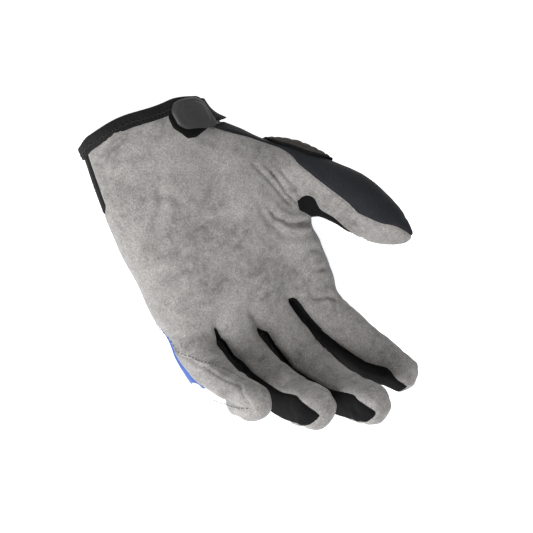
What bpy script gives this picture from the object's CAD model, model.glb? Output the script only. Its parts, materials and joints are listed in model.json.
"""Looks of a left-hand sailing glove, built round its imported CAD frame.

The glove is one surface. It is modelled open, with straight spread fingers, cut along its seams,
curled into its rest pose, and then parted where bodies and panels meet. Lengths are in millimetres
in the modelling functions and become metres when a mesh is made.
"""
import json
from math import cos, radians, sin

import bpy
import numpy as np
from mathutils import Matrix, Vector, kdtree


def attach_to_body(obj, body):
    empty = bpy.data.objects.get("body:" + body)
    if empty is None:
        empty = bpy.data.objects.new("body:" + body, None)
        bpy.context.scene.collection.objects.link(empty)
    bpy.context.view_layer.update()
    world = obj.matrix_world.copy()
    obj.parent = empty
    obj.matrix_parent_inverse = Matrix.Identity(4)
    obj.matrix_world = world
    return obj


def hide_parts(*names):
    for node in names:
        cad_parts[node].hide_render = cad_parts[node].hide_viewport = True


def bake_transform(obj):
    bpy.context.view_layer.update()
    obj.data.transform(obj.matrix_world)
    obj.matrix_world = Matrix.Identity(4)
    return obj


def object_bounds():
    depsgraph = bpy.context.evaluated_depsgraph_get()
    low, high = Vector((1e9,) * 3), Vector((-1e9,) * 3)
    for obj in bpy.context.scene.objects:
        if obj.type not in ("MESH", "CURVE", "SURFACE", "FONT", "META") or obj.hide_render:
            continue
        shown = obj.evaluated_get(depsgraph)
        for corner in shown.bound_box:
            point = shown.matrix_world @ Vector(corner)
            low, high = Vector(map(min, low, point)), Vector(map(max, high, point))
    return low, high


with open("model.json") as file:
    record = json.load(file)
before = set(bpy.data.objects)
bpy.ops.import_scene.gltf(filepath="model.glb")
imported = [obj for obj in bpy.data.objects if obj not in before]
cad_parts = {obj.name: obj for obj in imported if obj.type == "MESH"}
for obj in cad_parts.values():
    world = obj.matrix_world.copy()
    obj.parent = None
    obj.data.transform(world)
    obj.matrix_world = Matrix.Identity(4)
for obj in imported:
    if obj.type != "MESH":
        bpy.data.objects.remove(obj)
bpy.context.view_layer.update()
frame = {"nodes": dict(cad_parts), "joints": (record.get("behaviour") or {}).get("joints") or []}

MM = 0.001
STEP = 1.0  # spacing of the modelling grid
STEPS_BACK = 3  # times that the grid's points are moved onto the surface
GRID_LOW, GRID_HIGH = np.array((-106.0, -8, -30)), np.array((74.0, 234, 44))
WALL = 1.1  # thickness of the fabrics
FAR = 50.0  # a distance past which a limit has no effect
JOINTS = {joint["name"]: joint for joint in frame["joints"]}

# Fingers: how far each points aside while it is modelled and at rest, its bends past the hinges, the
# lengths of its last two parts, its radii at the root, the middle joint, the end joint and the tip,
# and how far before the tip's centre its side panel starts to close
FINGERS = {
    "index": {
        "open": -19, "spread": -14.6, "bends": (20.6, 16.5), "lengths": (26, 19),
        "radii": (13.3, 13.6, 12.3, 9.6), "wrap": 6.5,
    },
    "middle": {
        "open": -5, "spread": -0.6, "bends": (34.8, 17.7), "lengths": (30, 23),
        "radii": (12.7, 13.4, 11.7, 10.2), "wrap": 5.5,
    },
    "ring": {
        "open": 8, "spread": 2.6, "bends": (30.0, 17.9), "lengths": (27, 17.5),
        "radii": (12.0, 11.9, 11.5, 10.6), "wrap": 5.0,
    },
    "little": {
        "open": 22, "spread": 14.0, "bends": (25.0, 11.4), "lengths": (21, 20),
        "radii": (11.2, 10.8, 10.2, 9.3), "wrap": 6.5,
    },
}
BEND_REACH = (10, 9, 8)  # how far to each side of a finger's joint its bend is spread
LINE_STEP, LINE_PAST = 0.25, 20  # spacing of a finger's centreline, and how far it runs on at each end
ROOT_REACH = 42.0  # how far a finger runs back into the hand
TURN_START, TURN_LENGTH = -16.0, 26.0  # where along a finger it turns aside, and over what length
CROTCHES = ((-31.2, 129.6), (-7.2, 139.0), (18.6, 130.5))  # (x, y) between one finger and the next
CROTCH_GAP, CROTCH_GROWTH = 1.3, 0.02  # half width of the gap there, and its growth along the fingers
FINGER_Z = -5.2  # height of the finger roots
FINGER_POWER = 2.5  # roundness of a finger's section: 2 is a circle

# Hand: y, then the section's centre x and z, half width and half height
SECTIONS = np.array([
    (-20, 0.2, 0.5, 34.3, 20.5),
    (8, 0.2, 0.0, 35.3, 20.5),
    (32, 0.5, -0.5, 38.6, 19.5),
    (60, 0.5, -1.5, 41.5, 18.5),
    (85, -4.5, -3.0, 46.5, 17.0),
    (108, -9.5, -4.0, 51.0, 15.5),
    (150, -9.0, -5.5, 47.0, 12.5),
])
SECTION_POWER = 2.3
PALM_END, PALM_SLANT, PALM_MIDDLE = 118.0, 0.15, -6.0  # y where the hand ends, its slant and the x for it
THUMB_MOUND = ((-34, 60, 4), (22, 34, 16))  # centre and radii of the swell at the foot of the thumb
WEB_LINE = np.array([(-48, 86, 1), (-52.5, 124, -4)], float)  # from the thumb to the index finger
WEB_RADII = (14.5, 10.5)
# How softly forms join: fingers, the hand's end and mound, the web, the thumb, fingers with hand, gaps
FINGER_BLEND, HAND_BLEND, WEB_BLEND, THUMB_BLEND, DIGIT_BLEND, GAP_BLEND = 2.6, 10, 8, 9, 7, 3.5

# Thumb: centreline from the wrist to the tip, with radii at its first three points and its last
THUMB_LINE = np.array([
    (-25, 38, 0), (-63.1, 66.6, 5.3), (-81.4, 94.4, 19.5), (-88.6, 112.1, 25.2), (-95.4, 124.4, 29.8),
], float)
THUMB_RADII = (12.5, 14.8, 15.1, 5.2)
THUMB_TAPER = 2.4  # how late it narrows past its third point


def smooth_step(x):
    x = np.clip(x, 0, 1)
    return x * x * (3 - 2 * x)


def soft_min(a, b, k):
    h = np.clip(0.5 + 0.5 * (b - a) / k, 0, 1)
    return b * (1 - h) + a * h - k * h * (1 - h)


def unit(v):
    v = np.asarray(v, float)
    return v / np.linalg.norm(v, axis=-1, keepdims=True)


def lengths_along(points):
    """Distance along a polyline from its first point to each of its points."""
    return np.concatenate(((0,), np.cumsum(np.linalg.norm(np.diff(points, axis=0), axis=1))))


def places_along(at, lengths, points):
    """Points of a polyline at distances along it."""
    return np.stack([np.interp(at, lengths, column) for column in points.T], axis=-1)


def tree_of(points):
    """A tree that finds the nearest of many points."""
    tree = kdtree.KDTree(len(points))
    for i, point in enumerate(points):
        tree.insert(point, i)
    tree.balance()
    return tree


class Finger:
    """A finger's axes while it is open, and the centreline that it is curled onto."""

    def __init__(self, name):
        shape = FINGERS[name]
        self.root = np.array(JOINTS[f"{name}_root_bend"]["pos_m"]) / MM
        middle = np.array(JOINTS[f"{name}_middle_bend"]["pos_m"]) / MM
        base = middle - self.root
        lengths = (np.linalg.norm(base), *shape["lengths"])
        root_bend = np.degrees(np.arctan2(base[2], np.hypot(base[0], base[1])))
        opened = radians(shape["open"])
        self.aside = np.array((-cos(opened), sin(opened), 0.0))
        self.ahead = np.array((sin(opened), cos(opened), 0.0))
        self.turn = radians(shape["open"] - shape["spread"])
        self.radii = shape["radii"]
        self.knots = np.concatenate(((0.0,), np.cumsum(lengths)))
        self.length = self.knots[3]
        steps = np.arange(-LINE_PAST, self.length + LINE_PAST, LINE_STEP)
        lean = sum(
            radians(bend) * smooth_step((steps - at + half) / (2 * half))
            for bend, at, half in zip((root_bend, *shape["bends"]), self.knots[:3], BEND_REACH)
        )
        reach = np.cumsum(np.stack((np.cos(lean), np.sin(lean))), axis=1) * LINE_STEP
        start = np.array((steps[0], 0.0)) - reach[:, 0]
        self.steps, self.lean, self.reach = steps, lean, reach + start[:, None]

    def local(self, p):
        """Distances towards the thumb, out of the palm and along the open finger."""
        d = p - self.root
        return d @ self.aside, d[..., 2], d @ self.ahead

    def radius(self, t):
        r = np.full_like(t, self.radii[0])
        for at, end, low, high in zip(self.knots[:-1], self.knots[1:], self.radii[:-1], self.radii[1:]):
            r = r + (high - low) * smooth_step((t - at) / (end - at))
        return r

    def distance(self, p):
        u, v, t = self.local(p)
        across = (np.abs(u) ** FINGER_POWER + np.abs(v) ** FINGER_POWER) ** (1 / FINGER_POWER)
        past = np.maximum(t - self.length, 0) + np.minimum(t + ROOT_REACH, 0)
        return np.sqrt(across ** 2 + past ** 2) - self.radius(np.minimum(t, self.length))

    def curl(self, p):
        """Where a point of the open finger lies once the finger is curled."""
        u, v, t = self.local(p)
        t_in = np.clip(t, self.steps[0], self.steps[-1])
        lean = np.interp(t_in, self.steps, self.lean)
        forward = np.interp(t_in, self.steps, self.reach[0]) + (t - t_in)
        lift = np.interp(t_in, self.steps, self.reach[1])
        forward = forward - v * np.sin(lean)
        lift = lift + v * np.cos(lean)
        d = u[:, None] * self.aside + forward[:, None] * self.ahead
        turn = self.turn * smooth_step((t - TURN_START) / TURN_LENGTH)
        out = np.stack((
            d[:, 0] * np.cos(turn) - d[:, 1] * np.sin(turn),
            d[:, 0] * np.sin(turn) + d[:, 1] * np.cos(turn),
            lift,
        ), axis=1)
        return self.root + out


fingers = {name: Finger(name) for name in FINGERS}


def section_at(y):
    return [np.interp(y, SECTIONS[:, 0], SECTIONS[:, i]) for i in range(1, 5)]


def palm_distance(p):
    x, y, z = p[..., 0], p[..., 1], p[..., 2]
    cx, cz, half_width, half_height = section_at(y)
    a, b = np.abs(x - cx) / half_width, np.abs(z - cz) / half_height
    n = SECTION_POWER
    k = np.maximum((a ** n + b ** n) ** (1 / n), 0.05)
    slope = np.hypot(a ** (n - 1) / half_width, b ** (n - 1) / half_height) * k ** (1 - n)
    side = (k - 1) / np.maximum(slope, 1e-6)
    end = y - PALM_END + PALM_SLANT * (x - PALM_MIDDLE)
    return -soft_min(-side, -end, HAND_BLEND)


def segment_distance(p, a, b, radius_a, radius_b):
    ab = b - a
    h = np.clip(((p - a) @ ab) / (ab @ ab), 0, 1)
    return np.linalg.norm(p - a - h[..., None] * ab, axis=-1) - (radius_a + (radius_b - radius_a) * h)


def smooth_line(points, past_ends=30, window=15):
    """A polyline resampled at each millimetre with its corners rounded, and its directions."""
    lengths = lengths_along(points)
    at = np.arange(-past_ends, lengths[-1] + past_ends, 1.0)
    line = places_along(at, lengths, points)
    line[at < 0] += np.outer(at[at < 0], unit(points[1] - points[0]))
    past = at > lengths[-1]
    line[past] += np.outer(at[past] - lengths[-1], unit(points[-1] - points[-2]))
    kernel = np.hanning(window + 2)[1:-1]
    padded = [np.convolve(line[:, i], kernel / kernel.sum(), "same") for i in range(3)]
    inner = slice(window, -window)
    line = np.stack(padded, axis=1)[inner]
    return at[inner], line, unit(np.gradient(line, axis=0))


THUMB_AT, THUMB_PATH, THUMB_WAY = smooth_line(THUMB_LINE)
THUMB_KNOTS = np.delete(lengths_along(THUMB_LINE), -2)
THUMB_STATIONS = np.append(
    np.linspace(0, THUMB_KNOTS[-2], 13), np.linspace(THUMB_KNOTS[-2], THUMB_KNOTS[-1], 19)[1:],
)


def thumb_radius(along):
    """Radius of the thumb at distances along its centreline."""
    spans = list(zip(THUMB_KNOTS[:-1], THUMB_KNOTS[1:], THUMB_RADII[:-1], THUMB_RADII[1:]))
    body = sum((high - low) * smooth_step((along - at) / (end - at)) for at, end, low, high in spans[:-1])
    at, end, low, high = spans[-1]
    return THUMB_RADII[0] + body + (high - low) * np.clip((along - at) / (end - at), 0, 1) ** THUMB_TAPER


def thumb_distance(p):
    centres = places_along(THUMB_STATIONS, THUMB_AT, THUMB_PATH)
    radii = thumb_radius(THUMB_STATIONS)
    parts = zip(centres[:-1], centres[1:], radii[:-1], radii[1:])
    return np.min([segment_distance(p, *part) for part in parts], axis=0)


def ellipsoid_distance(p, centre, radii):
    q = (p - np.array(centre)) / np.array(radii)
    k0 = np.linalg.norm(q, axis=-1)
    k1 = np.linalg.norm(q / np.array(radii), axis=-1)
    return k0 * (k0 - 1) / np.maximum(k1, 1e-6)


def glove_distance(p):
    """Signed distance to the outer surface of the open glove."""
    d = None
    for finger in fingers.values():
        part = finger.distance(p)
        d = part if d is None else soft_min(d, part, FINGER_BLEND)
    hand = soft_min(palm_distance(p), ellipsoid_distance(p, *THUMB_MOUND), HAND_BLEND)
    hand = soft_min(hand, segment_distance(p, *WEB_LINE, *WEB_RADII), WEB_BLEND)
    hand = soft_min(hand, thumb_distance(p), THUMB_BLEND)
    d = soft_min(d, hand, DIGIT_BLEND)
    in_order = list(fingers.values())
    for (x, y), finger, following in zip(CROTCHES, in_order, in_order[1:]):
        way = unit(finger.ahead + following.ahead)
        offset = p - np.array((x, y, 0))
        along = offset @ way
        across = offset @ np.array((way[1], -way[0], 0))
        slot = np.hypot(across, np.maximum(-along, 0)) - CROTCH_GAP - CROTCH_GROWTH * np.maximum(along, 0)
        d = -soft_min(-d, slot, GAP_BLEND)
    return d


def surface_net(distance, low, high, step):
    """Quads on the zero surface, with one vertex in each grid cell that the surface crosses."""
    coarse = 4  # cells of the grid in each block that is tried first
    near_reach = 1.7  # in blocks, how close to the surface a block has to be to be worked out
    counts = np.ceil((high - low) / (step * coarse)).astype(int)
    axes = [low[i] + step * coarse * (np.arange(counts[i]) + 0.5) for i in range(3)]
    centres = np.stack(np.meshgrid(*axes, indexing="ij"), axis=-1)
    rough = distance(centres.reshape(-1, 3)).reshape(counts)
    block = np.ones((coarse, coarse, coarse), int)
    field = np.kron(rough, block)
    near = np.kron(np.abs(rough) < step * coarse * near_reach, block) > 0
    field[near] = distance(low + np.argwhere(near) * step)
    inside = field < 0
    shape = np.array(field.shape) - 1
    corners = [np.array((i, j, k)) for i in (0, 1) for j in (0, 1) for k in (0, 1)]
    filled = sum(
        inside[tuple(slice(o, n + o) for o, n in zip(corner, shape))].astype(int) for corner in corners
    )
    crossed = (filled > 0) & (filled < len(corners))
    cells = np.argwhere(crossed)
    index = np.full(crossed.shape, -1)
    index[crossed] = np.arange(len(cells))
    total, hits = np.zeros((len(cells), 3)), np.zeros(len(cells))
    for a in corners:
        for b in corners:
            if (b - a).sum() != 1 or np.abs(b - a).sum() != 1:
                continue
            fa, fb = field[tuple((cells + a).T)], field[tuple((cells + b).T)]
            hit = (fa < 0) != (fb < 0)
            share = fa[hit] / (fa[hit] - fb[hit])
            total[hit] += (cells + a)[hit] + share[:, None] * (b - a)
            hits += hit
    vertices = low + step * total / hits[:, None]
    quads = []
    for axis in range(3):
        j, k = (axis + 1) % 3, (axis + 2) % 3
        low_side = np.take(inside, np.arange(shape[axis]), axis)
        high_side = np.take(inside, np.arange(1, shape[axis] + 1), axis)
        edges = np.argwhere(low_side != high_side)
        beside = edges[:, [j, k]]
        edges = edges[((beside > 0) & (beside < shape[[j, k]])).all(axis=1)]
        leaving = low_side[tuple(edges.T)]
        around = []
        for dj, dk in ((1, 1), (0, 1), (0, 0), (1, 0)):
            cell = edges.copy()
            cell[:, j] -= dj
            cell[:, k] -= dk
            around.append(index[tuple(cell.T)])
        quad = np.stack(around, axis=1)
        quad[~leaving] = quad[~leaving][:, ::-1]
        quads.append(quad)
    quads = np.concatenate(quads)
    return vertices, quads[(quads >= 0).all(axis=1)]


def slope(function, p, h=0.2):
    """Gradient of a function of position."""
    return np.stack([(function(p + h * e) - function(p - h * e)) / (2 * h) for e in np.eye(3)], axis=1)


PART_BEFORE, PART_LENGTH = 1, 9  # where before a crotch its fingers start to move apart, and how gradually


def curl_hand(p):
    """Moves points of the open glove into the rest pose."""
    names = list(FINGERS)
    beside = []
    for i, (_, y) in enumerate(CROTCHES):
        u_here = -fingers[names[i]].local(p)[0]
        u_next = fingers[names[i + 1]].local(p)[0]
        share = np.clip(u_here / np.maximum(np.abs(u_here + u_next), 1e-6), 0, 1)
        share = np.where(u_here + u_next <= 0, (u_here > u_next).astype(float), share)
        apart = smooth_step((p[:, 1] - y + PART_BEFORE) / PART_LENGTH)
        beside.append(share * (1 - apart) + (share > 0.5) * apart)
    first, second, third = beside
    shares = (1 - first, first * (1 - second), first * second * (1 - third), first * second * third)
    return sum(share[:, None] * fingers[name].curl(p) for share, name in zip(shares, names))


# Seams, as heights above the finger roots' plane: y of the hand, height on the little finger's side
# and on the thumb's side
SEAM_Y = (-20, 36, 46, 95, 107, 120, 131, 150, 180)
SEAM_LITTLE = (6.2, 6.0, -7.0, -7.0, -2.0, -3.0, -0.8, 0.0, 1.0)
SEAM_THUMB = (3.0, 3.0, 1.0, -2.0, -2.0, -2.0, -2.0, -2.0, -2.0)
SIDE_BOTTOM, SIDE_TOP, SIDE_MIDDLE = -7.0, 8.9, -0.5  # side panels between the fingers
GUSSET_AT = (-14, 1, 11, 24, 60)  # distances along the little finger
GUSSET_TOP = (-4.0, 0.0, 6.5, 9.3, 9.2)  # height of its side panel's upper seam there
WRAP = 12.0  # the suede wraps over the fingertip from this far before its centre
SIDE_WRAPS = np.array([shape["wrap"] for shape in FINGERS.values()])
# How far the top of each side panel drops where it starts, from the thumb's side of the index finger on
CROTCH_DROP = np.array((0.0, 0.0, 3.0, 3.0, 0.0))
DROP_END, DROP_LENGTH = 20, 16  # distance along the finger where the drop ends, and its length
TIP_STRIP = 2.2  # half width of the suede left over the end of a fingertip
TIP_LENGTH = 8.0  # from how far before the tip's centre on that suede is left
THUMB_SIDE_WRAP = 14.0  # where a side panel that faces the thumb starts to close
CLOSING, CLOSING_POWER = 14.5, 0.58  # how far a side panel takes to close, and how bluntly
HEM = 0.4  # between the back's seam and the panel beside it
WRIST_LINE = 40.0

# Thumb seams: distance along the thumb's centreline and the seam's offset in radii
THUMB_SEAM_AT = (0, 22, 38, 50, 64, 78, 92, 106, 120)
THUMB_SEAM = (1.25, 1.03, 0.8, 0.42, 0.14, -0.1, -0.3, -0.12, 0.25)
THUMB_FACE = unit((0.47, -0.12, 0.87))  # the way the middle of the thumb's suede faces
THUMB_PANEL_REACH, THUMB_PANEL_FACE = 7.0, 0.3  # how far its back panel reaches off the thumb, and round it
WEB_POINT, WEB_END, WEB_OVAL = np.array((-58.2, 86.0, 17.2)), np.array((-61.5, 91.0, 15.0)), (4.9, 3.6)
# The web's strip: its edge in radii, how much it narrows, and from where along the thumb over what length
STRIP_EDGE, STRIP_NARROWING, STRIP_SPAN = 0.84, 0.18, (70, 32)
STRIP_FACE, STRIP_REACH = 0.35, 2.5
STRIP_END, STRIP_TAPER = 103, 0.35  # distance along the thumb where the strip ends, and how sharply

# The cuff's edge: its y, then the height, middle and half width of its dip in the palm, and the rise
# of its thumb side with the x where that starts and its length
CUFF_Y = 4.0
DIP, DIP_X, DIP_WIDTH = 4.5, 22, 20
RISE, RISE_X, RISE_LENGTH = 5.0, -12, 24


def thumb_frame(p):
    """Distance along the thumb, offsets away from the fingers and outwards, radius, distance from its line."""
    near = np.concatenate([
        np.linalg.norm(block[:, None] - THUMB_PATH, axis=2).argmin(1) for block in np.array_split(p, 40)
    ])
    offset = p - THUMB_PATH[near]
    away = unit(np.cross(THUMB_FACE, THUMB_WAY[near]))
    facing = np.cross(THUMB_WAY[near], away)
    radius = thumb_radius(THUMB_AT[near])
    along = THUMB_AT[near] + (offset * THUMB_WAY[near]).sum(1)
    across = (offset * away).sum(1)
    return along, across, (offset * facing).sum(1), radius, np.linalg.norm(offset, axis=1)


def finger_frame(p):
    """Nearest finger, offset towards the thumb, height and distance along it, and its length."""
    nearest = np.argmin([finger.distance(p) for finger in fingers.values()], axis=0)
    local = np.array([finger.local(p) for finger in fingers.values()])
    u, _, t = local[nearest, :, np.arange(len(p))].T
    length = np.array([finger.length for finger in fingers.values()])[nearest]
    return nearest, u, p[:, 2] - FINGER_Z, t, length


def outer_seam(p, nearest, u):
    """True beside the little finger or the thumb side of the hand, and the back seam's height there."""
    little, thumb = (nearest == 3) & (u < 0), (nearest == 0) & (u > 0)
    height = np.where(little, *[np.interp(p[:, 1], SEAM_Y, seam) for seam in (SEAM_LITTLE, SEAM_THUMB)])
    return little | thumb, np.where(little | thumb, height, SIDE_BOTTOM)


def side_field(p):
    """Above zero on the panels along the sides of the fingers."""
    nearest, u, v, t, length = finger_frame(p)
    outer, bottom = outer_seam(p, nearest, u)
    little = outer & (nearest == 3)
    drop = CROTCH_DROP[nearest + (u < 0)] * smooth_step((DROP_END - t) / DROP_LENGTH)
    top = np.where(outer, bottom - HEM, SIDE_TOP - drop)
    top = np.where(little, np.interp(t, GUSSET_AT, GUSSET_TOP), top)
    share = np.clip((t - length + np.where(u > 0, THUMB_SIDE_WRAP, SIDE_WRAPS[nearest])) / CLOSING, 0, 2)
    closing = np.where(share < 1, np.clip(1 - share ** 2, 0, 1) ** CLOSING_POWER, 1 - share)
    top = SIDE_MIDDLE + (top - SIDE_MIDDLE) * closing
    bottom = SIDE_MIDDLE + (bottom - SIDE_MIDDLE) * closing
    strip = np.where(t > length - TIP_LENGTH, np.abs(u) - TIP_STRIP, FAR)
    return np.minimum(np.minimum(top - v, v - bottom), strip)


def back_field(p):
    """Above zero on the back of the hand and fingers."""
    nearest, u, v, t, length = finger_frame(p)
    _, seam = outer_seam(p, nearest, u)
    return np.minimum(seam - v, length - WRAP - t)


def thumb_field(p):
    """Above zero on the softshell panel over the back of the thumb."""
    along, across, facing, radius, away = thumb_frame(p)
    seam = np.interp(along, THUMB_SEAM_AT, THUMB_SEAM)
    panel = np.maximum(across - seam * radius, -facing - THUMB_PANEL_FACE * radius)
    return np.minimum(panel, radius + THUMB_PANEL_REACH - away)


def web_field(p):
    """Above zero on the stretch strip that starts in an oval at the thumb's crotch."""
    along, across, facing, radius, away = thumb_frame(p)
    narrowing = STRIP_EDGE + STRIP_NARROWING * smooth_step((along - STRIP_SPAN[0]) / STRIP_SPAN[1])
    strip = soft_min(-across - narrowing * radius, facing + STRIP_FACE * radius, 2)
    strip = np.minimum(np.minimum(strip, radius + STRIP_REACH - away), STRIP_TAPER * (STRIP_END - along))
    oval = -segment_distance(p, WEB_POINT, WEB_END, *WEB_OVAL)
    return -soft_min(-strip, -oval, 1.5)


def cuff_field(p):
    """Above zero past the edge of the cuff, which dips towards the wrist in the middle of the palm."""
    dip = DIP * np.exp(-((p[:, 0] - DIP_X) / DIP_WIDTH) ** 2) * smooth_step((p[:, 2] + 6) / 14)
    rise = RISE * smooth_step((RISE_X - p[:, 0]) / RISE_LENGTH)
    return p[:, 1] + dip - rise - CUFF_Y


class Surface:
    """A triangle mesh of the open glove that can be cut along the zero line of a field."""

    def __init__(self, p, quads):
        self.p = p
        self.triangles = np.concatenate((quads[:, [0, 1, 2]], quads[:, [0, 2, 3]]))

    def cut(self, field):
        value = field(self.p)
        snap = 0.3 * STEP  # points closer to the line than this are moved onto it
        close = np.flatnonzero(np.abs(value) < STEP)
        way = slope(field, self.p[close])
        normal = unit(slope(glove_distance, self.p[close]))
        way -= (way * normal).sum(1)[:, None] * normal
        move = -value[close][:, None] * way / np.maximum((way ** 2).sum(1), 1e-3)[:, None]
        small = np.linalg.norm(move, axis=1) < snap
        self.p[close[small]] += move[small]
        value[close[small]] = 0
        sign = np.sign(value)
        t = self.triangles
        ahead = t[:, [1, 2, 0]]
        crossing = sign[t] * sign[ahead] < 0
        pairs = np.sort(np.stack((t[crossing], ahead[crossing]), axis=1), axis=1)
        edges, which = np.unique(pairs, axis=0, return_inverse=True)
        if not len(edges):
            return
        a, b = edges.T
        share = (value[a] / (value[a] - value[b]))[:, None]
        middle = np.full(t.shape, -1)
        middle[crossing] = len(self.p) + which.ravel()
        self.p = np.concatenate((self.p, self.p[a] * (1 - share) + self.p[b] * share))
        count = crossing.sum(1)
        parts = [t[count == 0]]
        for wanted, lone in ((1, crossing.argmax(1)), (2, (~crossing).argmax(1))):
            rows = np.flatnonzero(count == wanted)
            turn = (lone[rows] + 2) % 3
            order = (turn[:, None] + np.arange(3)) % 3
            corner = np.take_along_axis(t[rows], order, 1)
            split = np.take_along_axis(middle[rows], order, 1)
            if wanted == 1:
                parts += [np.stack((corner[:, 0], corner[:, 1], split[:, 1]), 1)]
                parts += [np.stack((corner[:, 0], split[:, 1], corner[:, 2]), 1)]
            else:
                parts += [np.stack((corner[:, 0], split[:, 0], split[:, 2]), 1)]
                parts += [np.stack((split[:, 0], corner[:, 1], corner[:, 2]), 1)]
                parts += [np.stack((split[:, 0], corner[:, 2], split[:, 2]), 1)]
        self.triangles = np.concatenate(parts)

    def centres(self):
        return self.p[self.triangles].mean(1)

    def keep(self, wanted):
        self.triangles = self.triangles[wanted]
        used, flat = np.unique(self.triangles, return_inverse=True)
        self.p = self.p[used]
        self.triangles = flat.reshape(-1, 3)


vertices, quads = surface_net(glove_distance, GRID_LOW, GRID_HIGH, STEP)
for _ in range(STEPS_BACK):
    normals = slope(glove_distance, vertices)
    vertices -= (glove_distance(vertices) / np.maximum((normals ** 2).sum(1), 0.2))[:, None] * normals
surface = Surface(vertices, quads)
surface.cut(cuff_field)
surface.keep(cuff_field(surface.centres()) > 0)
for field in (back_field, side_field, thumb_field, web_field):
    surface.cut(field)
surface.cut(lambda p: p[:, 1] - WRIST_LINE)

# Where each digit bends: its base from the hand, along a normal from a point, then its end from its base
BASE_BENDS = {
    "index": (4.0, 13.5), "middle": (4.0, 13.5), "ring": (4.0, 13.5),
    "little": (4.0, 10.5), "thumb": (1.0, 8.0),
}
END_BENDS = {"index": (-7, 7), "middle": (-7, 7), "ring": (-7, 7), "little": (-6, 6), "thumb": (-3, 6.5)}
WEB_CROTCH = np.array((-66.0, 94, 5))
THUMB_BEND_NORMAL = unit((-0.8, 0.35, 0.5))
THUMB_CLOTH, THUMB_FROM = 6, 50  # how far off its radius, and from where along it, fabric is the thumb's
FINGER_FROM = -6  # from where along it fabric is a finger's
UPWARDS = np.array((0, 0, 1))


def joint_at(name):
    return np.array(JOINTS[name]["pos_m"]) / MM


def near_digit(digit, p):
    """True on the part of the open glove that belongs to a digit."""
    if digit == "thumb":
        along, _, _, radius, away = thumb_frame(p)
        return (away < radius + THUMB_CLOTH) & (along > THUMB_FROM)
    nearest, _, _, t, _ = finger_frame(p)
    return (nearest == list(FINGERS).index(digit)) & (t > FINGER_FROM)


def base_bend(digit):
    """A digit's first bend: the point it is measured from, its normal, its start and its end."""
    if digit == "thumb":
        return WEB_CROTCH, THUMB_BEND_NORMAL, *BASE_BENDS[digit]
    root = joint_at(f"{digit}_root_bend")
    return root, unit(joint_at(f"{digit}_middle_bend") - root), *BASE_BENDS[digit]


def end_bend(digit):
    """Start and end points of a digit's second bend."""
    before, after = END_BENDS[digit]
    if digit == "thumb":
        middle = joint_at("thumb_end_bend")
        way = unit(middle - joint_at("thumb_root_bend"))
        return middle + before * way, middle + after * way
    middle = joint_at(f"{digit}_middle_bend")
    first = unit(middle - joint_at(f"{digit}_root_bend"))
    lean = np.arcsin(first[2]) + radians(FINGERS[digit]["bends"][0])
    level = unit((first[0], first[1], 0))
    return middle + before * first, middle + after * (cos(lean) * level + sin(lean) * UPWARDS)


def past_bend(digit, which):
    """Field above zero past the start (0) or the end (1) of a digit's first bend."""
    point, normal, *reach = base_bend(digit)

    def field(p):
        return np.where(near_digit(digit, p), (curl_hand(p) - point) @ normal - reach[which], -FAR)

    return field


digits = [*FINGERS, "thumb"]
for digit in digits:
    for which in (0, 1):
        surface.cut(past_bend(digit, which))

centres = surface.centres()
nearest, u, _, _, _ = finger_frame(centres)
panel = np.full(len(centres), "suede", dtype=object)
back = back_field(centres) > 0
panel[back] = "print"
panel[back & (centres[:, 1] < WRIST_LINE)] = "wrist"
side = side_field(centres) > 0
panel[side] = "fourchette"
panel[side & (nearest == 3) & (u < 0)] = "gusset"
panel[thumb_field(centres) > 0] = "softshell"
panel[web_field(centres) > 0] = "web"
zone = np.full(len(centres), "hand", dtype=object)
for digit in digits:
    zone[past_bend(digit, 0)(centres) > 0] = f"{digit}_base"
    zone[past_bend(digit, 1)(centres) > 0] = f"{digit}_end"

# Creases in the palm: (x, y) points of the open glove, then depth and half width
CREASES = (
    (((37, 23), (34, 15), (29, 11), (23, 9), (15, 8.5)), 1.5, 1.5),
    (((26, 76), (18, 72), (9, 68), (0, 66), (-10, 68)), 1.2, 1.8),
    (((-9, 55), (-15, 51), (-22, 47)), 1.2, 1.6),
    (((37, 85), (29, 83), (22, 83), (16, 85)), 1.0, 1.6),
    (((-8, 103), (-15, 102), (-25, 100), (-34, 102)), 1.2, 2.4),
    (((-35, 74), (-38, 83), (-44, 90), (-52, 94), (-61, 95)), 1.6, 1.5),
    (((-30, 68), (-33, 82), (-40, 95), (-50, 101), (-60, 102)), 0.8, 1.8),
    (((-36, 46), (-42, 62), (-48, 76), (-51, 85)), 0.6, 1.1),
    (((-44, 56), (-48, 66), (-51, 76), (-54, 83)), 0.8, 0.9),
    (((-51, 60), (-54, 68), (-56, 75), (-57, 81)), 0.6, 0.9),
    (((-39, 133), (-49, 136), (-55, 141)), 1.1, 1.4),
    (((-46, 119), (-57, 122)), 1.0, 1.3),
    (((-50, 108), (-60, 113)), 0.8, 1.6),
    (((-22, 146), (-15, 153), (-17, 166)), 0.9, 1.3),
    (((14, 153), (7, 153)), 0.8, 1.3),
    (((30, 60), (20, 50), (13, 38)), 0.7, 2.6),
    (((5, 85), (-8, 84), (-20, 88)), 0.7, 2.6),
    (((22, 40), (12, 46), (6, 56)), 0.6, 2.2),
)


def line_distance(p, points):
    """Distance to a polyline, and how far along it the nearest point lies, from 0 to 1."""
    points = np.array(points, float)
    best, share = np.full(len(p), 1e9), np.zeros(len(p))
    for i, (a, b) in enumerate(zip(points[:-1], points[1:])):
        ab = b - a
        h = np.clip(((p - a) @ ab) / (ab @ ab), 0, 1)
        d = np.linalg.norm(p - a - h[:, None] * ab, axis=1)
        closer = d < best
        best = np.where(closer, d, best)
        share = np.where(closer, (i + h) / (len(points) - 1), share)
    return best, share


def bump(d, width):
    """1 at zero distance, falling smoothly to nothing."""
    return np.exp(-((d / width) ** 2))


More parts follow.
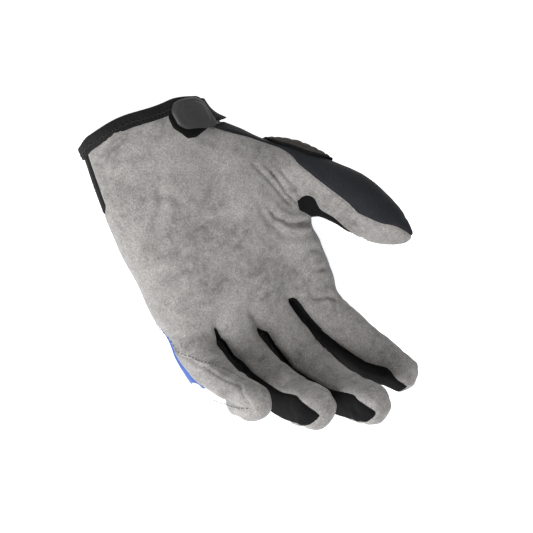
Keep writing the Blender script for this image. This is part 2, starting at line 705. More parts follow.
def waves(p, length, seed, count=10):
    """A smooth uneven field of about unit size, from waves of about one length."""
    random = np.random.default_rng(seed)
    ways = unit(random.normal(size=(count, 3)))
    ways = ways * 2 * np.pi / (length * random.uniform(0.6, 1.5, count))[:, None]
    return np.sin(p @ ways.T + random.uniform(0, 2 * np.pi, count)).sum(1) / np.sqrt(count / 2)


def vertex_normals(p, triangles):
    face = np.cross(p[triangles[:, 1]] - p[triangles[:, 0]], p[triangles[:, 2]] - p[triangles[:, 0]])
    total = np.zeros_like(p)
    for i in range(3):
        np.add.at(total, triangles[:, i], face)
    return total / np.maximum(np.linalg.norm(total, axis=1), 1e-9)[:, None]


def seam_edges():
    """Every edge of the surface that two different panels share."""
    t = surface.triangles
    edges = np.sort(np.concatenate((t[:, [0, 1]], t[:, [1, 2]], t[:, [2, 0]])), axis=1)
    order = np.lexsort((edges[:, 1], edges[:, 0]))
    edges, owner = edges[order], np.tile(np.unique(panel, return_inverse=True)[1], 3)[order]
    same = (edges[1:] == edges[:-1]).all(1) & (owner[1:] != owner[:-1])
    return edges[1:][same]


def seam_distance(p, edges):
    """Distance from each point to the nearest seam."""
    a, b = p[edges[:, 0]], p[edges[:, 1]]
    samples = np.concatenate([a * (1 - k) + b * k for k in (0.1, 0.37, 0.63, 0.9)])
    tree = tree_of(samples)
    return np.array([tree.find(point)[2] for point in p])


# Unevenness of the fabric: height, wave length and seed, over the whole glove and on the palm's side
UNEVEN, UNEVEN_PALM = (0.26, 30, 1), (0.13, 10, 2)
THUMB_CALM = 0.75  # share of that unevenness that the thumb lacks
PALM_LOW, PALM_EDGE = -4, -61  # z and x past which the palm has no creases
TIP_UNEVEN, TIP_WAVE, TIP_REACH = 0.28, 9, 12
GATHER, GATHER_PITCH, GATHER_START, GATHER_OFF = 0.32, 2.7, 62, 1.9  # gathers beside the thumb's back seam
SEAM_DEPTH, SEAM_WIDTH, WELT, WELT_OFF, WELT_WIDTH = 0.55, 0.75, 0.15, 1.8, 0.9


def surface_lift(p, normals, seam):
    """How far the fabric stands off the smooth form: seams, creases, gathers and soft unevenness."""
    nearest, u, v, t, _ = finger_frame(p)
    along, across, _, radius, away = thumb_frame(p)
    palm_side = smooth_step((normals[:, 2] - 0.05) / 0.4)
    on_thumb = smooth_step((radius + 7 - away) / 4)
    lift = UNEVEN[0] * waves(p, *UNEVEN[1:]) + UNEVEN_PALM[0] * waves(p, *UNEVEN_PALM[1:]) * palm_side
    lift = lift * (1 - THUMB_CALM * on_thumb)
    for points, depth, width in CREASES:
        d, share = line_distance(p[:, :2], points)
        fade = smooth_step(share / 0.25) * smooth_step((1 - share) / 0.25) * smooth_step((12 - d) / 8)
        fold = -1.5 * depth * bump(d, width) + 0.6 * depth * bump(d - 2.3 * width, 1.3 * width)
        reach = palm_side * (p[:, 2] > PALM_LOW) * smooth_step((p[:, 0] - PALM_EDGE) / 7)
        lift += fold * reach * (0.2 + 0.8 * fade)
    for i, finger in enumerate(fingers.values()):
        here = (nearest == i) & (t > -8)
        wobble = 1.6 * np.sin(u / 4.5 + 2 * i) + 1.2 * waves(p, 14, 20 + i)
        _, middle, last, _ = finger.knots
        creases = ((7, 0.35), (middle - 7, 0.45), (middle, 0.7), (middle + 6, 0.4), (last - 2, 0.45))
        for at, depth in creases:
            crease = depth * bump(t - at + wobble, 1.9) * (0.6 + 0.4 * waves(p, 16, 40 + i))
            lift -= here * (v > -3) * smooth_step((v + 3) / 7) * crease
        near_tip = smooth_step((t - finger.length + TIP_REACH) / 10)
        lift += here * (i < 3) * TIP_UNEVEN * waves(p, TIP_WAVE, 50 + i) * near_tip
    gathers = smooth_step((along - GATHER_START) / 14) * bump(seam - GATHER_OFF, 1.5)
    gathers = gathers * (thumb_field(p) < 0) * (across > 0)
    lift += on_thumb * gathers * GATHER * np.sin(along * 2 * np.pi / GATHER_PITCH)
    return lift - SEAM_DEPTH * bump(seam, SEAM_WIDTH) + WELT * bump(seam - WELT_OFF, WELT_WIDTH)


posed = curl_hand(surface.p)
smooth_normals = vertex_normals(posed, surface.triangles)
edges = seam_edges()
seam = seam_distance(posed, edges)
lift = surface_lift(surface.p, smooth_normals, seam)
posed = posed + lift[:, None] * smooth_normals
normals = vertex_normals(posed, surface.triangles)


# Materials
def new_material(name, colour, roughness, **sockets):
    material = bpy.data.materials.new(name)
    material.use_nodes = True
    shader = material.node_tree.nodes["Principled BSDF"]
    shader.inputs["Base Color"].default_value = (*colour, 1)
    shader.inputs["Roughness"].default_value = roughness
    for socket, value in sockets.items():
        shader.inputs[socket.replace("_", " ")].default_value = value
    return material


def texture(tree, kind, **sockets):
    """A texture node that reads each point's place in the rest pose, so that it rides on the fabric."""
    node = tree.nodes.new(f"ShaderNodeTex{kind}")
    place = tree.nodes.get("place") or tree.nodes.new("ShaderNodeAttribute")
    place.name, place.attribute_name = "place", "rest_place"
    tree.links.new(place.outputs["Vector"], node.inputs["Vector"])
    for socket, value in sockets.items():
        node.inputs[socket].default_value = value
    return node


def blend_colours(tree, share, first, second, mode="MIX"):
    """Mixes two colours or colour outputs by an output or a number."""
    node = tree.nodes.new("ShaderNodeMix")
    node.data_type, node.blend_type = "RGBA", mode
    for socket, value in ((node.inputs[0], share), (node.inputs[6], first), (node.inputs[7], second)):
        if isinstance(value, bpy.types.NodeSocket):
            tree.links.new(value, socket)
        elif isinstance(value, float):
            socket.default_value = value
        else:
            socket.default_value = (*value, 1)
    return node.outputs[2]


def shades(tree, value, span, first, second):
    """Goes from the first colour to the second as an output's value crosses a span."""
    node = tree.nodes.new("ShaderNodeMapRange")
    node.inputs["From Min"].default_value, node.inputs["From Max"].default_value = span
    tree.links.new(value, node.inputs["Value"])
    return blend_colours(tree, node.outputs["Result"], first, second)


def add_bump(material, height, strength, distance):
    tree = material.node_tree
    node = tree.nodes.new("ShaderNodeBump")
    node.inputs["Strength"].default_value = strength
    node.inputs["Distance"].default_value = distance
    tree.links.new(height, node.inputs["Height"])
    tree.links.new(node.outputs["Normal"], tree.nodes["Principled BSDF"].inputs["Normal"])


def link_colour(material, colour):
    tree = material.node_tree
    tree.links.new(colour, tree.nodes["Principled BSDF"].inputs["Base Color"])


def suede_material():
    """Grey nap, uneven in large patches and speckled in small ones."""
    material = new_material(
        "suede", (0.33, 0.315, 0.305), 0.95, Sheen_Weight=0.25, Sheen_Roughness=0.5, Specular_IOR_Level=0.2,
    )
    tree = material.node_tree
    patches = texture(tree, "Noise", Scale=38, Detail=5, Roughness=0.65, Distortion=0.8)
    nap = texture(tree, "Noise", Scale=240, Detail=4, Roughness=0.7)
    grain = texture(tree, "Noise", Scale=1150, Detail=3, Roughness=0.75)
    colour = shades(tree, patches.outputs[0], (0.36, 0.65), (0.105, 0.101, 0.097), (0.24, 0.232, 0.225))
    colour = shades(tree, nap.outputs[0], (0.3, 0.75), colour, (0.25, 0.242, 0.235))
    speckle = shades(tree, grain.outputs[0], (0.32, 0.68), (0.64, 0.635, 0.63), (1.32, 1.32, 1.32))
    link_colour(material, blend_colours(tree, 1.0, colour, speckle, "MULTIPLY"))
    add_bump(material, grain.outputs[0], 0.5, 0.0003)
    return material


def fabric_material(name, dark, light, roughness, scale, bump_strength, specular):
    """A plain fabric with an uneven tone and a fine texture."""
    material = new_material(name, light, roughness, Specular_IOR_Level=specular)
    tree = material.node_tree
    uneven = texture(tree, "Noise", Scale=70, Detail=4, Roughness=0.6)
    fine = texture(tree, "Voronoi", Scale=scale).outputs["Distance"]
    colour = shades(tree, uneven.outputs[0], (0.35, 0.65), dark, light)
    shade = shades(tree, fine, (0.1, 0.8), (1.15, 1.15, 1.15), (0.75, 0.75, 0.75))
    link_colour(material, blend_colours(tree, 1.0, colour, shade, "MULTIPLY"))
    add_bump(material, fine, bump_strength, 0.0003)
    return material


PRINT_SPLIT = (0.1612, 0.1618)  # where the blue gives way to the white, in metres along the glove
PRINT_SWAY = 0.045  # how far that edge strays


def print_material():
    """Blue print that gives way to white with thin black contour lines near the fingertips."""
    material = new_material("printed_back", (0.05, 0.12, 0.42), 0.75, Sheen_Weight=0.1)
    tree = material.node_tree
    sway = texture(tree, "Noise", Scale=28, Detail=2, Roughness=0.5)
    split = tree.nodes.new("ShaderNodeSeparateXYZ")
    tree.links.new(tree.nodes["place"].outputs["Vector"], split.inputs[0])
    swayed = tree.nodes.new("ShaderNodeMath")
    swayed.operation = "MULTIPLY_ADD"
    swayed.inputs[1].default_value = PRINT_SWAY
    tree.links.new(sway.outputs[0], swayed.inputs[0])
    tree.links.new(split.outputs["Y"], swayed.inputs[2])
    lines = texture(tree, "Wave", Scale=45, Distortion=6, Detail=1)
    shade = texture(tree, "Noise", Scale=60, Detail=3, Roughness=0.6)
    blue = shades(tree, shade.outputs[0], (0.35, 0.65), (0.022, 0.06, 0.24), (0.042, 0.10, 0.34))
    white = shades(tree, lines.outputs["Fac"], (0.24, 0.18), (0.66, 0.67, 0.70), (0.02, 0.02, 0.02))
    link_colour(material, shades(tree, swayed.outputs[0], PRINT_SPLIT, blue, white))
    weave = texture(tree, "Voronoi", Scale=1500)
    add_bump(material, weave.outputs["Distance"], 0.3, 0.0002)
    return material


# Dark and light colour, roughness, scale and strength of the texture, specular level
FABRICS = {
    "fourchette": ((0.0035, 0.0035, 0.004), (0.006, 0.006, 0.0065), 0.95, 1300, 0.5, 0.12),
    "softshell": ((0.011, 0.012, 0.0145), (0.0155, 0.0165, 0.020), 0.8, 1500, 0.3, 0.2),
    "stretch": ((0.006, 0.006, 0.0065), (0.011, 0.011, 0.012), 0.9, 1100, 0.5, 0.15),
    "lining": ((0.012, 0.012, 0.0125), (0.02, 0.02, 0.0205), 0.95, 1200, 0.4, 0.1),
    "binding": ((0.004, 0.004, 0.0045), (0.009, 0.009, 0.0095), 0.85, 1700, 0.5, 0.2),
    "elastic": ((0.02, 0.02, 0.021), (0.04, 0.04, 0.042), 0.85, 900, 0.6, 0.5),
    "knuckle_pad": ((0.028, 0.025, 0.023), (0.05, 0.046, 0.043), 0.85, 1500, 0.5, 0.2),
    "loop": ((0.0025, 0.0025, 0.0027), (0.007, 0.007, 0.0073), 0.95, 700, 1.0, 0.1),
    "hook": ((0.004, 0.004, 0.0042), (0.009, 0.009, 0.0093), 0.7, 800, 1.0, 0.15),
    "strap": ((0.007, 0.007, 0.0075), (0.012, 0.012, 0.0125), 0.85, 1500, 0.5, 0.15),
    "tab_rubber": ((0.024, 0.024, 0.0245), (0.03, 0.03, 0.0305), 0.55, 1900, 0.08, 0.35),
}
materials = {name: fabric_material(name, *look) for name, look in FABRICS.items()} | {
    "suede": suede_material(),
    "printed_back": print_material(),
    "thread": new_material("thread", (0.018, 0.018, 0.018), 0.7),
    "dark_thread": new_material("dark_thread", (0.006, 0.006, 0.006), 0.6),
}


# Meshes
def add_piece(name, points, faces, material, corner_normals=None):
    """A closed mesh, from points in millimetres. Corner normals follow the faces' corners."""
    mesh = bpy.data.meshes.new(name)
    mesh.from_pydata((np.asarray(points) * MM).tolist(), [], [list(map(int, face)) for face in faces])
    mesh.polygons.foreach_set("use_smooth", [True] * len(mesh.polygons))
    place = mesh.attributes.new("rest_place", "FLOAT_VECTOR", "POINT")
    place.data.foreach_set("vector", (np.asarray(points) * MM).ravel())
    if corner_normals is not None:
        mesh.normals_split_custom_set(corner_normals.tolist())
    mesh.materials.append(materials[material])
    piece = bpy.data.objects.new(name, mesh)
    bpy.context.scene.collection.objects.link(piece)
    return piece


def add_shell(name, triangles, material):
    """A panel with its outer face, the same face moved inwards, and the edge between them."""
    used, flat = np.unique(triangles, return_inverse=True)
    flat = flat.reshape(-1, 3)
    outer, way, count = posed[used], normals[used], len(used)
    points = np.concatenate((outer, outer - WALL * smooth_normals[used]))
    edges = np.concatenate((flat[:, [0, 1]], flat[:, [1, 2]], flat[:, [2, 0]]))
    codes = edges[:, 0] * count + edges[:, 1]
    free = edges[~np.isin(codes, edges[:, 1] * count + edges[:, 0])]
    rim = np.stack((free[:, 1], free[:, 0], free[:, 0] + count, free[:, 1] + count), axis=1)
    inner = flat[:, ::-1] + count
    across = np.cross(points[rim[:, 1]] - points[rim[:, 0]], points[rim[:, 2]] - points[rim[:, 0]])
    across /= np.maximum(np.linalg.norm(across, axis=1), 1e-9)[:, None]
    faced = way[flat].reshape(-1, 3), -way[flat[:, ::-1]].reshape(-1, 3)
    corner_normals = np.concatenate((*faced, across.repeat(4, 0)))
    faces = [*flat.tolist(), *inner.tolist(), *rim.tolist()]
    piece = add_piece(name, points, faces, material, corner_normals)
    piece.data.materials.append(materials["lining"])
    piece.data.polygons.foreach_set("material_index", [0] * len(flat) + [1] * len(inner) + [0] * len(rim))
    return piece


def attach(piece, zone_name):
    """Lets a piece ride on the hand, or bend with the digit whose zone it lies in."""
    if zone_name == "hand":
        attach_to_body(piece, "hand")
        return
    digit, part = zone_name.split("_")
    if part == "base":
        point, normal, start, end = base_bend(digit)
        bodies, span = ("hand", f"{digit}_base"), (point + start * normal, point + end * normal)
    else:
        bodies, span = (f"{digit}_base", f"{digit}_tip"), end_bend(digit)
    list(bodies)
    [Vector(end * MM) for end in span]
    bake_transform(piece)


PANEL_SLOTS = {"suede": "suede", "print": "printed_back", "wrist": "stretch", "fourchette": "fourchette",
               "gusset": "suede", "softshell": "softshell", "web": "fourchette"}
# The CAD nodes that each panel stands for, as names on the hand and as the ends of names on a digit
HAND_NODES = {
    "suede": ("palm_suede", "thumb_palm_suede"),
    "print": ("printed_back_panel",),
    "wrist": ("wrist_back_panel",),
    "fourchette": ("index_middle_crotch", "middle_ring_crotch", "ring_little_crotch"),
    "softshell": ("thumb_back_panel",),
    "web": ("thumb_web_insert",),
}
DIGIT_NODES = {"suede": ("suede",), "print": ("back",), "fourchette": ("fourchettes", "fourchette"),
               "gusset": ("gusset",), "softshell": ("back",), "web": ("fourchettes",)}
FEWEST_TRIANGLES = 12  # a smaller scrap of a panel is left out


def stood_for(zone_name, panel_name):
    """The CAD nodes that a panel of a zone stands for."""
    if zone_name == "hand":
        return HAND_NODES.get(panel_name, ())
    digit, part = zone_name.split("_")
    ends = ("base",) if part == "base" else ("base", "tip")
    names = [f"{digit}_{end}_{kind}" for end in ends for kind in DIGIT_NODES.get(panel_name, ())]
    return [name for name in names if name in frame["nodes"]]


for zone_name in np.unique(zone.astype(str)):
    for panel_name in np.unique(panel.astype(str)):
        rows = surface.triangles[(zone == zone_name) & (panel == panel_name)]
        if len(rows) < FEWEST_TRIANGLES:
            continue
        piece = add_shell(f"{zone_name}_{panel_name}", rows, PANEL_SLOTS[panel_name])
        attach(piece, zone_name)
        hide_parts(*stood_for(zone_name, panel_name))


# Trims
def to_surface(place, near, far, height, halvings):
    """Halves the span between two distances down to where a point over the open glove lies at a height."""
    for _ in range(halvings):
        middle = (near + far) / 2
        outside = glove_distance(place(middle).reshape(-1, 3)).reshape(near.shape) > height
        near, far = np.where(outside, near, middle), np.where(outside, middle, far)
    return place(near)


# The wrist is unrolled into (u, y): u runs round it from the middle of the palm, over the thumb's side
WRIST_Y, WRIST_CENTRE = 14.0, np.array((0.2, 0.0))


def wrist_ray(angle, y, height):
    """The point over the wrist's surface in the direction of each angle."""
    angle, y, height = np.broadcast_arrays(np.asarray(angle, float), y, height)
    way = np.stack((-np.sin(angle), np.zeros_like(angle), np.cos(angle)), axis=-1)
    x, z = (np.full_like(angle, value) for value in WRIST_CENTRE)
    centre = np.stack((x, y, z), axis=-1)
    near, far = np.full(angle.shape, 3.0), np.full(angle.shape, 60.0)
    return to_surface(lambda reach: centre + reach[..., None] * way, near, far, height, 16)


ring_angles = np.linspace(0, 2 * np.pi, 241)
RING_U = lengths_along(wrist_ray(ring_angles, WRIST_Y, 0.0))


def wrist_point(u, y, height):
    """A point over the wrist at unrolled coordinates, lifted off the form under it."""
    angle = np.interp(np.mod(u, RING_U[-1]), RING_U, ring_angles)
    return wrist_ray(angle, y, height)


def rounded(corners, turn, count=120):
    """A closed outline, evenly spaced, with its corners rounded."""
    corners = np.array(corners, float)
    loop = np.concatenate((corners, corners[:1]))
    at = lengths_along(loop)
    steps = np.linspace(0, at[-1], count, endpoint=False)
    line = places_along(steps, at, loop)
    window = max(3, int(turn / at[-1] * count) | 1)
    kernel = np.hanning(window + 2)[1:-1]
    kernel /= kernel.sum()
    half = window // 2
    padded = np.concatenate((line[-half:], line, line[:half]))
    return np.stack([np.convolve(padded[:, i], kernel, "valid") for i in range(2)], axis=1)


def facing_out(points, faces):
    """The faces of a closed mesh, all turned round if they face inwards."""
    volume = sum(np.dot(points[f[0]], np.cross(points[f[1]], points[f[2]])) for f in faces)
    return [face[::-1] for face in faces] if volume < 0 else faces


def add_patch(name, corners, profile, material, turn=4.0, rings=9):
    """A patch round the wrist with a profile of (inset, height) from its top to its underside."""
    outline = rounded(corners, turn)
    centre = outline.mean(0)
    reach = np.linalg.norm(outline - centre, axis=1).mean()
    top, bottom = profile[0][1], profile[-1][1]
    levels = [(share, top) for share in np.linspace(0, 1 - profile[0][0] / reach, rings)[1:]]
    levels += [(1 - inset / reach, height) for inset, height in profile[1:-1]]
    levels += [(share, bottom) for share in np.linspace(1 - profile[-1][0] / reach, 0, rings)[:-1]]
    loops = [centre + share * (outline - centre) for share, _ in levels]
    flat = np.concatenate([*loops, centre[None], centre[None]])
    heights = np.concatenate([np.full(len(outline), height) for _, height in levels] + [[top], [bottom]])
    points = wrist_point(flat[:, 0], flat[:, 1], heights)
    n, last = len(outline), (len(levels) - 1) * len(outline)
    here = np.arange(n)
    ahead = (here + 1) % n
    faces = np.stack((here, ahead, np.full(n, len(points) - 2)), axis=1).tolist()
    for a in range(0, last, n):
        b = a + n
        faces += np.stack((a + here, b + here, b + ahead, a + ahead), axis=1).tolist()
    faces += np.stack((last + here, np.full(n, len(points) - 1), last + ahead), axis=1).tolist()
    return add_piece(name, points, facing_out(points, faces), material)


def add_tubes(name, paths, radius, material, sides):
    """Short closed threads along paths of points."""
    points, faces = [], []
    turns = np.linspace(0, 2 * np.pi, sides, endpoint=False)
    for path in paths:
        path = np.asarray(path, float)
        way = unit(np.gradient(path, axis=0))
        side = unit(np.cross(way, (0.31, 0.52, 0.79)))
        up = np.cross(way, side)
        size = radius * np.concatenate(((0.35,), np.ones(len(path) - 2), (0.35,)))  # pointed ends
        start = sum(map(len, points))
        spokes = np.cos(turns)[None, :, None] * side[:, None] + np.sin(turns)[None, :, None] * up[:, None]
        points.append((path[:, None] + size[:, None, None] * spokes).reshape(-1, 3))
        for i in range(len(path) - 1):
            for j in range(sides):
                a, b = start + i * sides + j, start + i * sides + (j + 1) % sides
                faces.append((a, b, b + sides, a + sides))
        faces.append(tuple(start + j for j in range(sides))[::-1])
        faces.append(tuple(start + (len(path) - 1) * sides + j for j in range(sides)))
    return add_piece(name, np.concatenate(points), faces, material)


# Edge tape: a flattened tube over the cut edge of the cuff
def mouth_line(angles):
    """How far along the glove its cut edge lies in the direction of each angle."""
    y = np.full(len(angles), CUFF_Y)
    for _ in range(12):
        y = y - cuff_field(wrist_ray(angles, y, 0.0))
    return y


TAPE_SECTION = (  # along the glove from its cut edge, and height
    (6.3, 0.35), (6.0, 0.75), (5.0, 0.9), (3.6, 0.7), (2.2, 0.95), (0.8, 0.95), (-0.2, 0.6), (-0.9, -0.1),
    (-1.1, -0.8), (-0.7, -1.6), (0.4, -2.1), (2.5, -2.15), (4.8, -2.1), (6.1, -1.7), (6.3, -0.8),
)
tape_angles = np.linspace(0, 2 * np.pi, 300, endpoint=False)
edge_line = mouth_line(tape_angles)
ripple = 0.12 * np.sin(tape_angles * 61) + 0.1 * np.sin(tape_angles * 17 + 1)
tape = np.stack([
    wrist_ray(tape_angles, edge_line + along, height + ripple * (height > 0)) for along, height in TAPE_SECTION
], axis=1)
index = np.arange(tape.shape[0] * tape.shape[1]).reshape(tape.shape[:2])
round_tape, along_tape = np.roll(index, -1, 0), np.roll(index, -1, 1)
tape_faces = np.stack((index, along_tape, np.roll(round_tape, -1, 1), round_tape), axis=-1).reshape(-1, 4)
binding = add_piece("cuff_binding_tape", tape.reshape(-1, 3), tape_faces, "binding")
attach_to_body(binding, "hand")
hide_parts("cuff_binding")

# Zigzag stitches along the tape
STITCH_COUNT, STITCH_ROWS = 116, (4.3, 2.9)
STITCH_BASE, STITCH_ARCH, STITCH_RADIUS = 0.95, 0.2, 0.2
zig_angles = np.linspace(0, 2 * np.pi, STITCH_COUNT, endpoint=False)
zig_edge = np.interp(zig_angles, tape_angles, edge_line)
share = np.linspace(0, 1, 5)
stitches = []
for i in range(STITCH_COUNT):
    start, end = zig_edge[i] + STITCH_ROWS[i % 2], zig_edge[(i + 1) % STITCH_COUNT] + STITCH_ROWS[(i + 1) % 2]
    angle = zig_angles[i] + share * 2 * np.pi / STITCH_COUNT
    y = start * (1 - share) + end * share
    stitches.append(wrist_ray(angle, y, STITCH_BASE + STITCH_ARCH * np.sin(share * np.pi)))
thread = add_tubes("cuff_stitches", stitches, STITCH_RADIUS, "dark_thread", 5)
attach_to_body(thread, "hand")

# Wrist closure: loop pad, the strap with its hooks, and the rubber pull tab, as outlines in (u, y)
LOOP = ((11, 7), (6.3, 10), (6.3, 17.0), (11.5, 24.8), (17.0, 26.4), (34.0, 24.0), (38.0, 9.0))
HOOK = ((9.5, 9.5), (9.5, 18.5), (16.5, 22.0), (33.0, 24.0), (35.0, 11.5), (18.5, 9.0))
STRAP = (
    (9.5, 7.5), (9.0, 16.5), (17.0, 19.5), (36.0, 25.5), (58.0, 26.0), (70.0, 23.5), (70.0, 15.5), (58.0, 13.5),
    (38.0, 11.5), (20.0, 7.5),
)
RUBBER = (
    (9.6, 5.0), (6.4, 8.4), (7.0, 16.4), (10.4, 20.4), (17.0, 22.6), (23.6, 25.6), (27.0, 26.2), (29.0, 20.0),
    (28.6, 11.5), (22.4, 7.2), (13.4, 5.0),
)
ANCHOR = ((58, 13.0), (58, 25), (76, 24), (76, 14.5))
ELASTIC = ((78, 25), (78, 31), (122, 31), (122, 25))
RUBBER_PROFILE = (
    (4.4, 4.6), (3.6, 4.5), (2.9, 4.2), (2.2, 4.3), (1.2, 4.25), (0.5, 3.9), (0.1, 3.4), (0, 2.9), (0.3, 2.7),
)


def edge_profile(top, bottom, soften):
    """Level top, rounded edge, level underside."""
    thickness = top - bottom
    return (
        (soften, top), (0.45 * soften, top - 0.12 * thickness), (0.1 * soften, top - 0.4 * thickness),
        (0, (top + bottom) / 2), (0.15, bottom),
    )


def closure_patch(name, corners, profile, slot_name, body, node, turn=4.0):
    """A patch that rides on one body and stands for one CAD node."""
    piece = add_patch(name, corners, profile, slot_name, turn)
    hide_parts(node)
    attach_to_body(piece, body)


closure_patch("loop_pad", LOOP, edge_profile(1.2, -0.3, 0.8), "loop", "hand", "loop_patch")
closure_patch("hook_pad", HOOK, edge_profile(1.9, 1.3, 0.5), "hook", "closure_tab", "hook_patch")
closure_patch("tab_rubber", RUBBER, RUBBER_PROFILE, "tab_rubber", "closure_tab", "pull_tab_rubber", 5.0)
strap = add_patch("wrist_strap", STRAP, edge_profile(2.9, 1.8, 0.6), "strap")
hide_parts("closure_strap", "strap_anchor")
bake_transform(strap)
closure_patch("strap_anchor_patch", ANCHOR, edge_profile(2.3, -0.3, 0.7), "strap", "hand", "strap_anchor")
closure_patch("wrist_elastic_band", ELASTIC, edge_profile(-1.2, -2.2, 0.4), "elastic", "hand", "wrist_elastic")

# Ribbed pad over the thumb's knuckle, with piping round it
PAD_ALONG = (33.0, 67.0)  # span along the thumb
PAD_ROUND = (32.0, -80.0)  # span round it in degrees, from its side towards its back
PAD_NARROWING, PAD_POINT = 0.28, 0.2  # of both ends, and of the far end besides
PAD_EDGE, PAD_RISE, PAD_CROWN, PAD_BASE = 0.5, 1.0, 1.5, -0.4
RIB_HEIGHT, RIB_PITCH = 0.4, 4.2
PIPING_HEIGHT, PIPING_RADIUS = 0.7, 0.75


def thumb_point(along, turn, height):
    """The point over the thumb's surface at a distance along it and a turn about it."""
    along, turn, height = np.broadcast_arrays(np.asarray(along, float), turn, height)
    centre, way = places_along(along, THUMB_AT, THUMB_PATH), unit(places_along(along, THUMB_AT, THUMB_WAY))
    away = unit(np.cross(THUMB_FACE, way))
    out = np.cos(turn)[..., None] * away + np.sin(turn)[..., None] * np.cross(way, away)
    near, far = np.full(along.shape, 4.0), np.full(along.shape, 40.0)
    return to_surface(lambda reach: centre + reach[..., None] * out, near, far, height, 15)


rows, columns = ((180, 48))
a, b = np.meshgrid(np.linspace(-1, 1, rows), np.linspace(-1, 1, columns), indexing="ij")
stretch = 1 - PAD_NARROWING * a ** 2 - PAD_POINT * np.maximum(a, 0) ** 2
along = np.mean(PAD_ALONG) + a * np.ptp(PAD_ALONG) / 2
turn = np.radians(np.mean(PAD_ROUND) + (PAD_ROUND[0] - PAD_ROUND[1]) / 2 * b * stretch)
inside = np.minimum(1 - np.abs(a), 1 - np.abs(b))
ribs = np.abs(np.sin(along * np.pi / RIB_PITCH)) ** 0.7 * smooth_step((inside - 0.05) / 0.15)
crown = PAD_RISE + PAD_CROWN * (1 - a ** 2) * np.sqrt(1 - b ** 2) + RIB_HEIGHT * ribs
top = thumb_point(along, turn, PAD_EDGE + smooth_step(inside / 0.10) * crown)
base = thumb_point(along, turn, PAD_BASE)
grid = np.arange(rows * columns).reshape(rows, columns)
quads = np.stack((grid[:-1, :-1], grid[1:, :-1], grid[1:, 1:], grid[:-1, 1:]), axis=-1).reshape(-1, 4)
border = np.concatenate((grid[:-1, 0], grid[-1, :-1], grid[:0:-1, -1], grid[0, :0:-1]))
follow = np.roll(border, -1)
walls = np.stack((border, border + grid.size, follow + grid.size, follow), axis=1)
pad_faces = np.concatenate((quads, quads[:, ::-1] + grid.size, walls))
pad_points = np.concatenate((top.reshape(-1, 3), base.reshape(-1, 3)))
pad = add_piece("knuckle_pad_ribbed", pad_points, facing_out(pad_points, pad_faces), "knuckle_pad")
attach(pad, "thumb_base")
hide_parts("thumb_knuckle_pad")
piping_line = thumb_point(along.ravel()[border], turn.ravel()[border], PIPING_HEIGHT)
piping_line = np.concatenate((piping_line, piping_line[:1]))
piping = add_tubes("knuckle_pad_piping", [piping_line[::2]], PIPING_RADIUS, "fourchette", 8)
attach(piping, "thumb_base")


# Stitches along the seams of the little finger's side panel
def finger_side(name, t, v):
    """Points of a finger's outer side, of the open glove, at distances along it and heights."""
    finger = fingers[name]

    def place(reach):
        out = (-reach)[:, None] * finger.aside
        return finger.root + out + t[:, None] * finger.ahead + v[:, None] * UPWARDS

    return to_surface(place, np.zeros_like(t), np.full_like(t, 25.0), 0.0, 15)


cloth = tree_of(surface.p)


def on_fabric(p, height):
    """Moves points of the smooth open glove onto the finished fabric."""
    owner = np.array([cloth.find(point)[1] for point in p])
    return curl_hand(p) + (lift[owner] + height)[:, None] * smooth_normals[owner]


STITCH_PITCH, STITCH_GAP, STITCH_LIFT, STITCH_BOW = 2.3, 0.35, 0.28, 0.1
UPPER_OFF = 1.1  # from the panel's upper seam to its stitches
LOWER_AT, LOWER_HEIGHT = (38.0, 46.0, 56.0, 66.0), (-3.2, -2.2, -1.2, 0.4)


def stitch_line(name, t, v):
    """Points of each stitch along a seam that has heights at distances along a finger's outer side."""
    height = STITCH_LIFT + STITCH_BOW * np.sin(np.linspace(0, np.pi, 4))
    starts = np.arange(t[0], t[-1], STITCH_PITCH)
    spots = [np.linspace(start, start + STITCH_PITCH * (1 - STITCH_GAP), 4) for start in starts]
    return [on_fabric(finger_side(name, spot, np.interp(spot, t, v)), height) for spot in spots]


point, normal, start, end = base_bend("little")
groups = {"hand": [], "little_base": [], "little_end": []}
upper = stitch_line("little", GUSSET_AT, np.array(GUSSET_TOP) + UPPER_OFF)
for stitch in upper + stitch_line("little", LOWER_AT, LOWER_HEIGHT):
    along = (stitch.mean(0) - point) @ normal
    groups["little_end" if along > end else "little_base" if along > start else "hand"].append(stitch)
for zone_name, group in groups.items():
    if group:
        thread = add_tubes(f"{zone_name}_stitches", group, STITCH_RADIUS, "thread", 5)
        attach(thread, zone_name)

# Camera and studio. The directions are unit vectors
CAMERA_TARGET = Vector((-6, 80, -2)) * MM
TO_CAMERA = Vector((0.475, -0.121, 0.872))
IMAGE_RIGHT = Vector((-0.754, 0.455, 0.474))
IMAGE_UP = Vector((-0.453, -0.883, 0.125))
CAMERA_DISTANCE = 1.1
FRAMING = (0.0294, -0.0126)  # shift of the camera to its right and upwards, in metres
LENS, SENSOR, NEAREST = 141, 36, 0.05
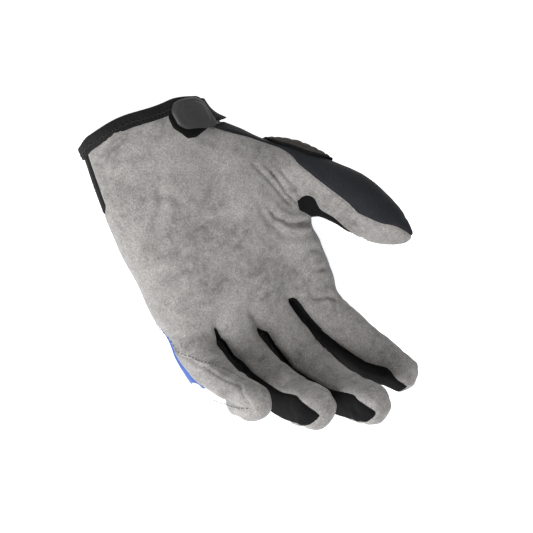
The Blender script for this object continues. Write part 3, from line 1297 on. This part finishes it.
# Lights: name, place, size and power
KEY = ("key", (0.98, 0.42, 0.76), 0.5, 24)
FILL = ("fill", (-0.5, -0.6, 1.1), 1.0, 5)
FLOOR_SIZE, FLOOR_COLOUR, FLOOR_GLOW = 30.0, (0.93, 0.93, 0.93, 1), 0.7
WHITE, WORLD_GLOW = (1, 1, 1, 1), 0.36


def add_camera():
    data = bpy.data.cameras.new("camera")
    camera = bpy.data.objects.new("camera", data)
    bpy.context.scene.collection.objects.link(camera)
    place = CAMERA_TARGET + TO_CAMERA.normalized() * CAMERA_DISTANCE
    place += IMAGE_RIGHT * FRAMING[0] + IMAGE_UP * FRAMING[1]
    axes = Matrix((IMAGE_RIGHT, IMAGE_UP, TO_CAMERA)).transposed().to_4x4()
    camera.matrix_world = Matrix.Translation(place) @ axes
    data.lens = LENS
    data.sensor_width = SENSOR
    data.clip_start = NEAREST
    bpy.context.scene.camera = camera


def add_light(name, place, size, power):
    data = bpy.data.lights.new(name, "AREA")
    data.energy, data.size = power, size
    light = bpy.data.objects.new(name, data)
    bpy.context.scene.collection.objects.link(light)
    light.location = place
    light.rotation_euler = (CAMERA_TARGET - Vector(place)).to_track_quat("-Z", "Y").to_euler()


def add_floor():
    bpy.ops.mesh.primitive_plane_add(size=FLOOR_SIZE, location=(0, 0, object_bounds()[0].z))
    floor = bpy.context.object
    floor.name = "floor"
    material = bpy.data.materials.new("floor")
    material.use_nodes = True
    shader = material.node_tree.nodes["Principled BSDF"]
    shader.inputs["Base Color"].default_value = FLOOR_COLOUR
    shader.inputs["Roughness"].default_value = 0.9
    shader.inputs["Emission Color"].default_value = WHITE
    shader.inputs["Emission Strength"].default_value = FLOOR_GLOW
    floor.data.materials.append(material)


add_floor()
add_camera()
add_light(*KEY)
add_light(*FILL)
world = bpy.data.worlds.new("studio")
world.use_nodes = True
world.node_tree.nodes["Background"].inputs["Color"].default_value = WHITE
world.node_tree.nodes["Background"].inputs["Strength"].default_value = WORLD_GLOW
bpy.context.scene.world = world
bpy.context.scene.view_settings.view_transform = "Standard"
